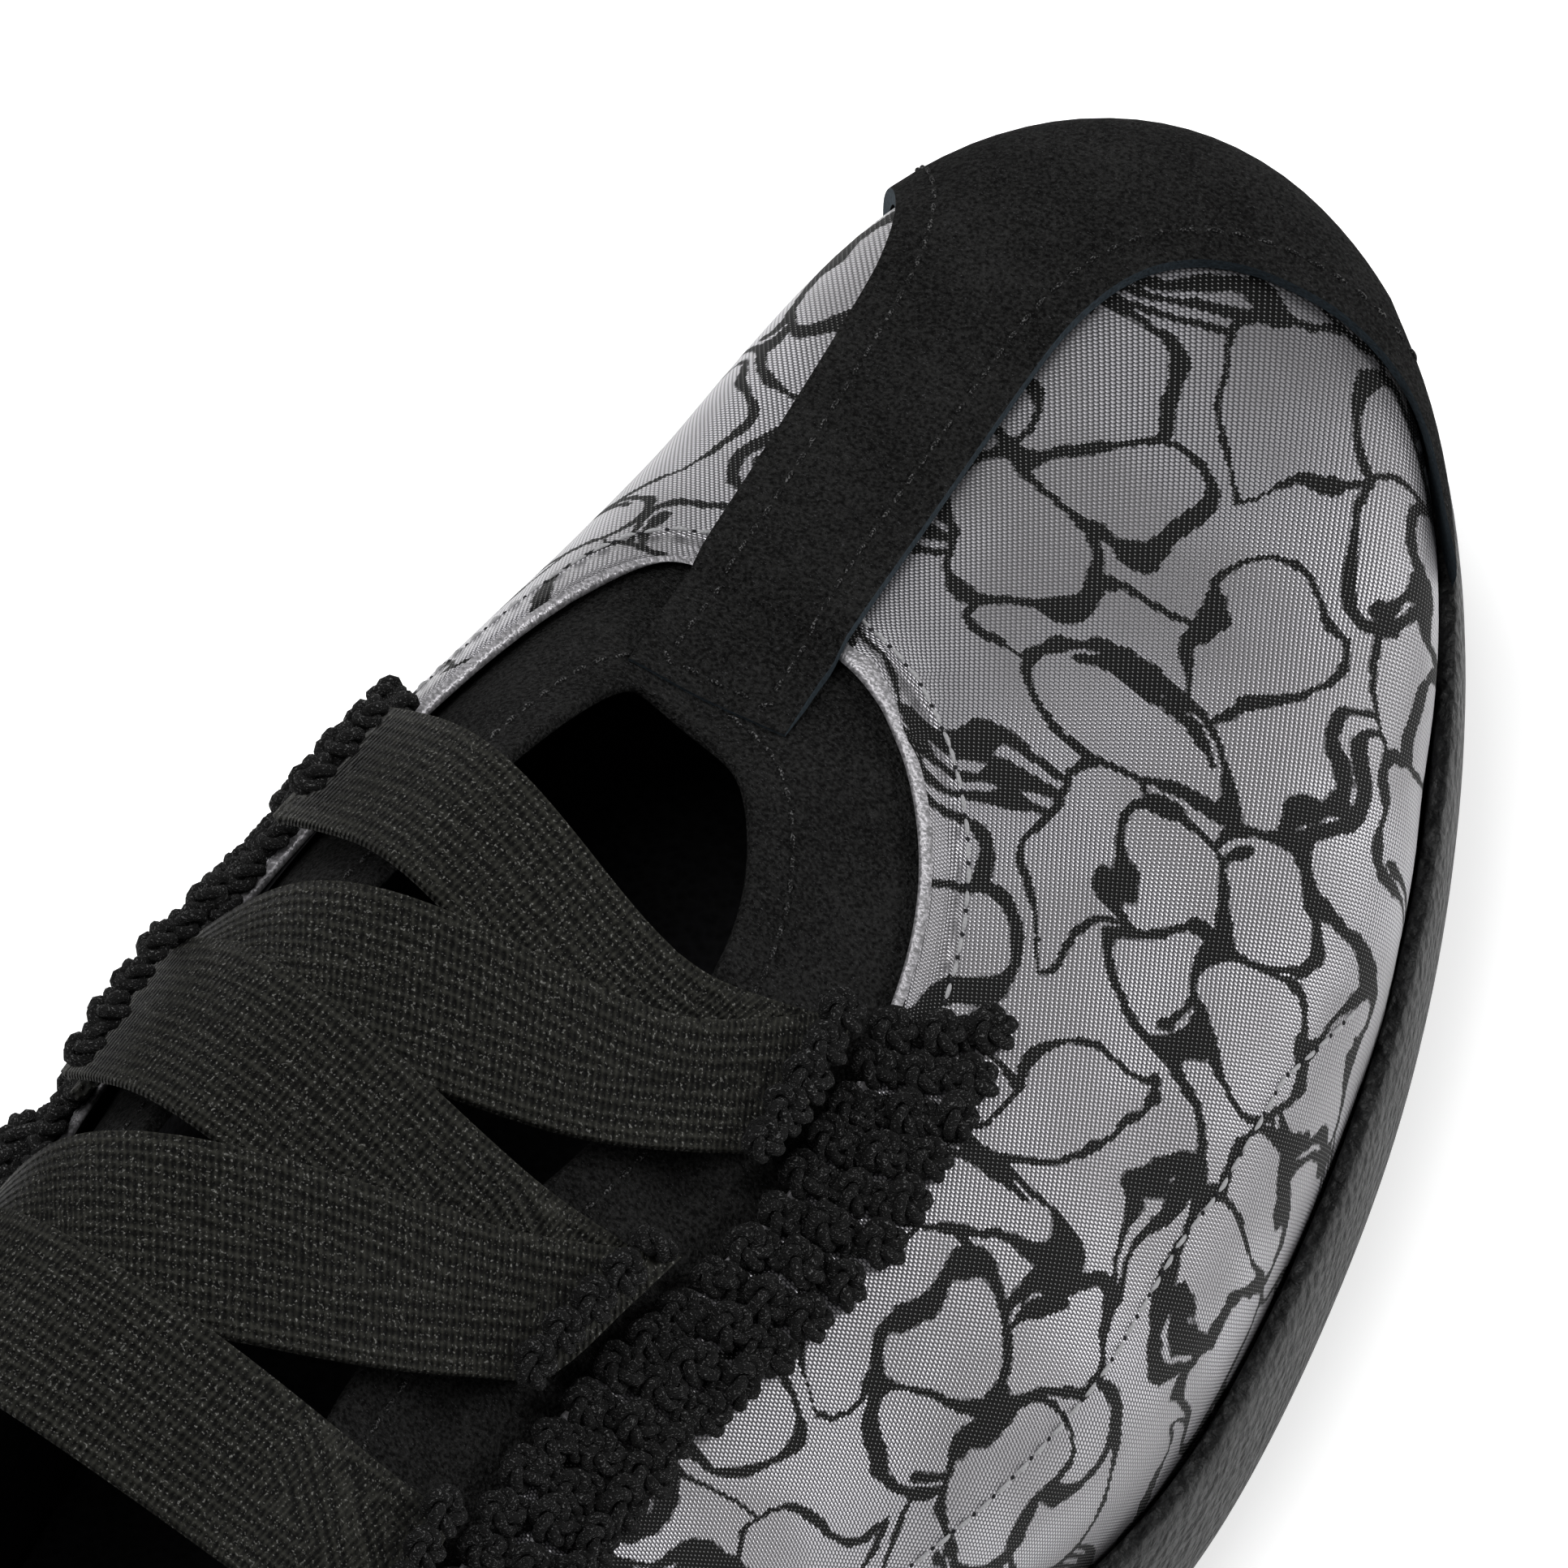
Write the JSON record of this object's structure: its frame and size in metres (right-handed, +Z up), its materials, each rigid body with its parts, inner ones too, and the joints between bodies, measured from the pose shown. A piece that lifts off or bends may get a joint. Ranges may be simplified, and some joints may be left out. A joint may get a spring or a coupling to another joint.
{
  "type": "mary jane sneaker",
  "caption": "Low slip-on sneaker in patterned satin with a T-shaped suede toe, open throat and zigzag elastic straps.",
  "frame": {"origin": "centre of the shoe's bounding box, on the floor plane under the sole", "axes": "+Y from heel to toe, +X to the lateral side of this right shoe, +Z up"},
  "size_m": [0.0852, 0.2557, 0.0797],
  "materials": {
    "rubber": "moulded dark grey rubber with a fine leather-like grain",
    "lining": "black textile footbed",
    "satin": "silver woven satin with a black figured weave",
    "suede": "black suede",
    "elastic": "black ribbed elastic webbing",
    "yarn": "black crocheted yarn"
  },
  "bodies": {
    "root": {"sole": "rubber", "insole": "lining", "upper": "satin", "throat_facing": "suede", "toe_cap": "suede", "heel_strip": "suede", "elastic_band_1": "elastic", "elastic_band_2": "elastic", "elastic_band_3": "elastic", "elastic_band_4": "elastic", "elastic_band_5": "elastic", "lateral_edging": "yarn", "medial_edging": "yarn"}
  },
  "joints": []
}
